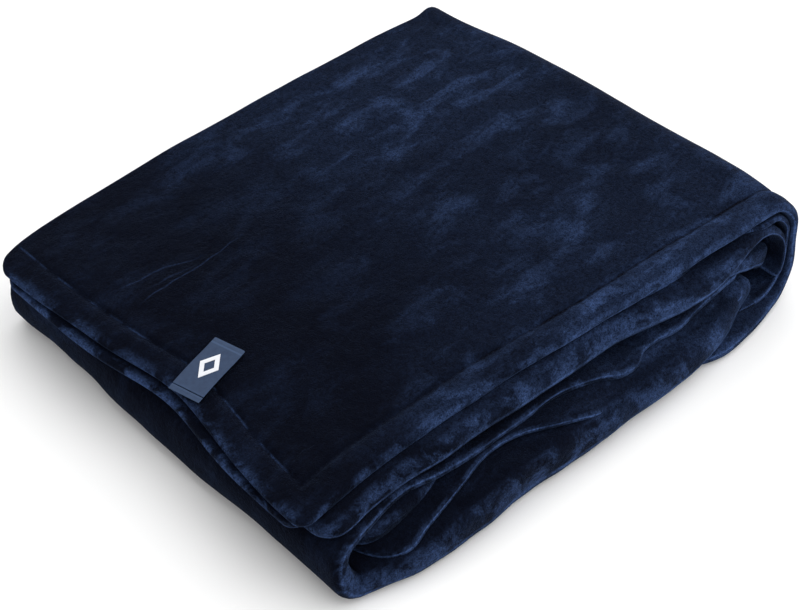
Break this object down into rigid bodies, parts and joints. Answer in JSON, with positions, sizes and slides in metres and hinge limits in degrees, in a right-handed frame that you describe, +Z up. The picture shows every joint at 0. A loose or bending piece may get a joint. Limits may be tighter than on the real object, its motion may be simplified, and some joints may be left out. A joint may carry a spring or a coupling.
{
  "type": "folded plush throw blanket",
  "caption": "Plush throw blanket folded into a rectangular pack, with stitched hems and a woven tab; its top half opens about the folded spine.",
  "frame": {"origin": "middle of the underside of the folded pack, on the surface that it rests on", "axes": "+X along the pack's long side, from the open end to the folded spines; +Y from the hemmed long sides to the rolled ones; +Z up"},
  "size_m": [0.445, 0.384, 0.084],
  "materials": {
    "plush": "dense crushed plush pile, dark navy, soft blue sheen at grazing angles",
    "hem_plush": "turned plush hem, pile pressed along the stitch line",
    "hem_thread": "matt polyester sewing thread",
    "tab_thread": "matt polyester sewing thread",
    "woven_tab": "fine damask weave, slate blue",
    "mark_weave": "white woven weft, slightly raised",
    "care_satin": "plain white satin tape, unprinted"
  },
  "bodies": {
    "base": {"leaf_3_outer_ply": "plush", "leaf_3_middle_ply": "plush", "leaf_3_inner_ply": "plush", "leaf_3_long_hem": "hem_plush", "leaf_3_back_roll": "plush", "leaf_3_front_roll": "plush", "leaf_4_outer_ply": "plush", "leaf_4_middle_ply": "plush", "leaf_4_inner_ply": "plush", "leaf_4_long_hem": "hem_plush", "leaf_4_back_roll": "plush", "leaf_4_front_roll": "plush", "outer_spine_inner_ply": "plush", "outer_spine_middle_ply": "plush", "outer_spine_outer_ply": "plush", "inner_spine_inner_ply": "plush", "inner_spine_middle_ply": "plush", "inner_spine_outer_ply": "plush", "wrap_inner_ply": "plush", "wrap_middle_ply": "plush", "wrap_outer_ply": "plush"},
    "cover": {"leaf_1_outer_ply": "plush", "leaf_1_middle_ply": "plush", "leaf_1_inner_ply": "plush", "leaf_1_long_hem": "hem_plush", "leaf_1_back_roll": "plush", "leaf_1_front_roll": "plush", "leaf_1_end_hem": "hem_plush", "leaf_2_outer_ply": "plush", "leaf_2_middle_ply": "plush", "leaf_2_inner_ply": "plush", "leaf_2_long_hem": "hem_plush", "leaf_2_back_roll": "plush", "leaf_2_front_roll": "plush", "leaf_2_end_hem": "hem_plush", "long_hem_stitching": "hem_thread", "end_hem_stitching": "hem_thread", "care_label": "care_satin", "tab_foot": "woven_tab", "tab_stitching": "tab_thread"},
    "tab": {"tab_flap": "woven_tab", "tab_mark": "mark_weave"}
  },
  "joints": [
    {"name": "cover_fold", "type": "hinge", "parent": "base", "child": "cover", "pos_m": [0.1805, 0, 0.042], "axis": [0, 1, 0], "range_deg": [0, 179.5], "deforming": ["outer_spine_inner_ply", "outer_spine_middle_ply", "outer_spine_outer_ply", "inner_spine_inner_ply", "inner_spine_middle_ply", "inner_spine_outer_ply"]},
    {"name": "tab_flip", "type": "hinge", "parent": "cover", "child": "tab", "pos_m": [-0.20754, -0.00807, 0.06502], "axis": [0.2246, -0.9744, 0.0123], "range_deg": [0, 170]}
  ]
}
